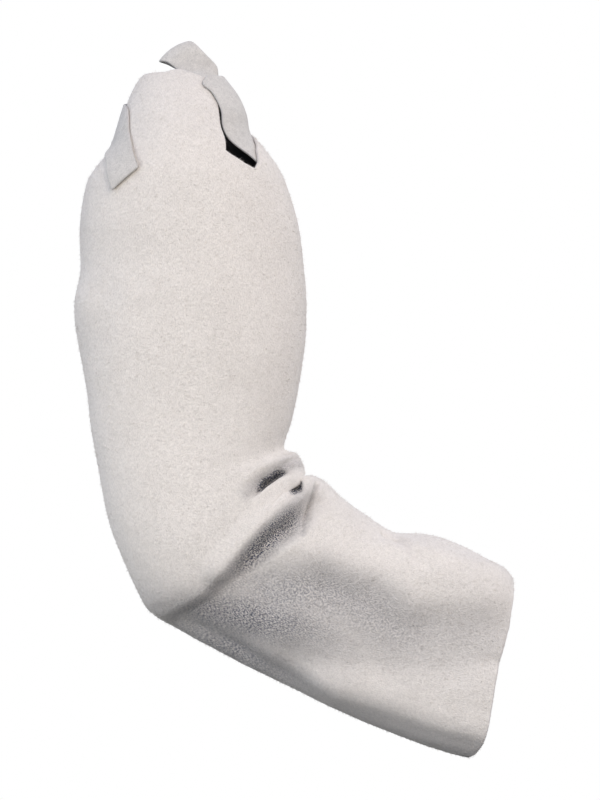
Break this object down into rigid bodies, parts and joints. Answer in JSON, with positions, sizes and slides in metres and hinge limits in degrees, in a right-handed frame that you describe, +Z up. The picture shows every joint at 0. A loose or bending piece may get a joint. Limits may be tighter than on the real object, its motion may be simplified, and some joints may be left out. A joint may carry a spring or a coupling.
{
  "type": "split leather welding sleeve",
  "caption": "Hollow split leather sleeve for welding work, bent at the elbow, with a shoulder tongue and straps that hold it on the arm.",
  "frame": {"origin": "middle of the armhole, where the shoulder carries the sleeve", "axes": "+Z up along the upper arm, +X across the front view from the elbow side to the crook side, +Y away from the front"},
  "size_m": [0.35, 0.1395, 0.5773],
  "materials": {
    "sleeve_leather": "napped split leather, pale warm grey, matt",
    "strap_leather": "smoother split leather, pale cool grey, matt"
  },
  "bodies": {
    "root": {"sleeve": "sleeve_leather", "front_strap": "strap_leather", "shoulder_strap": "strap_leather"}
  },
  "joints": []
}
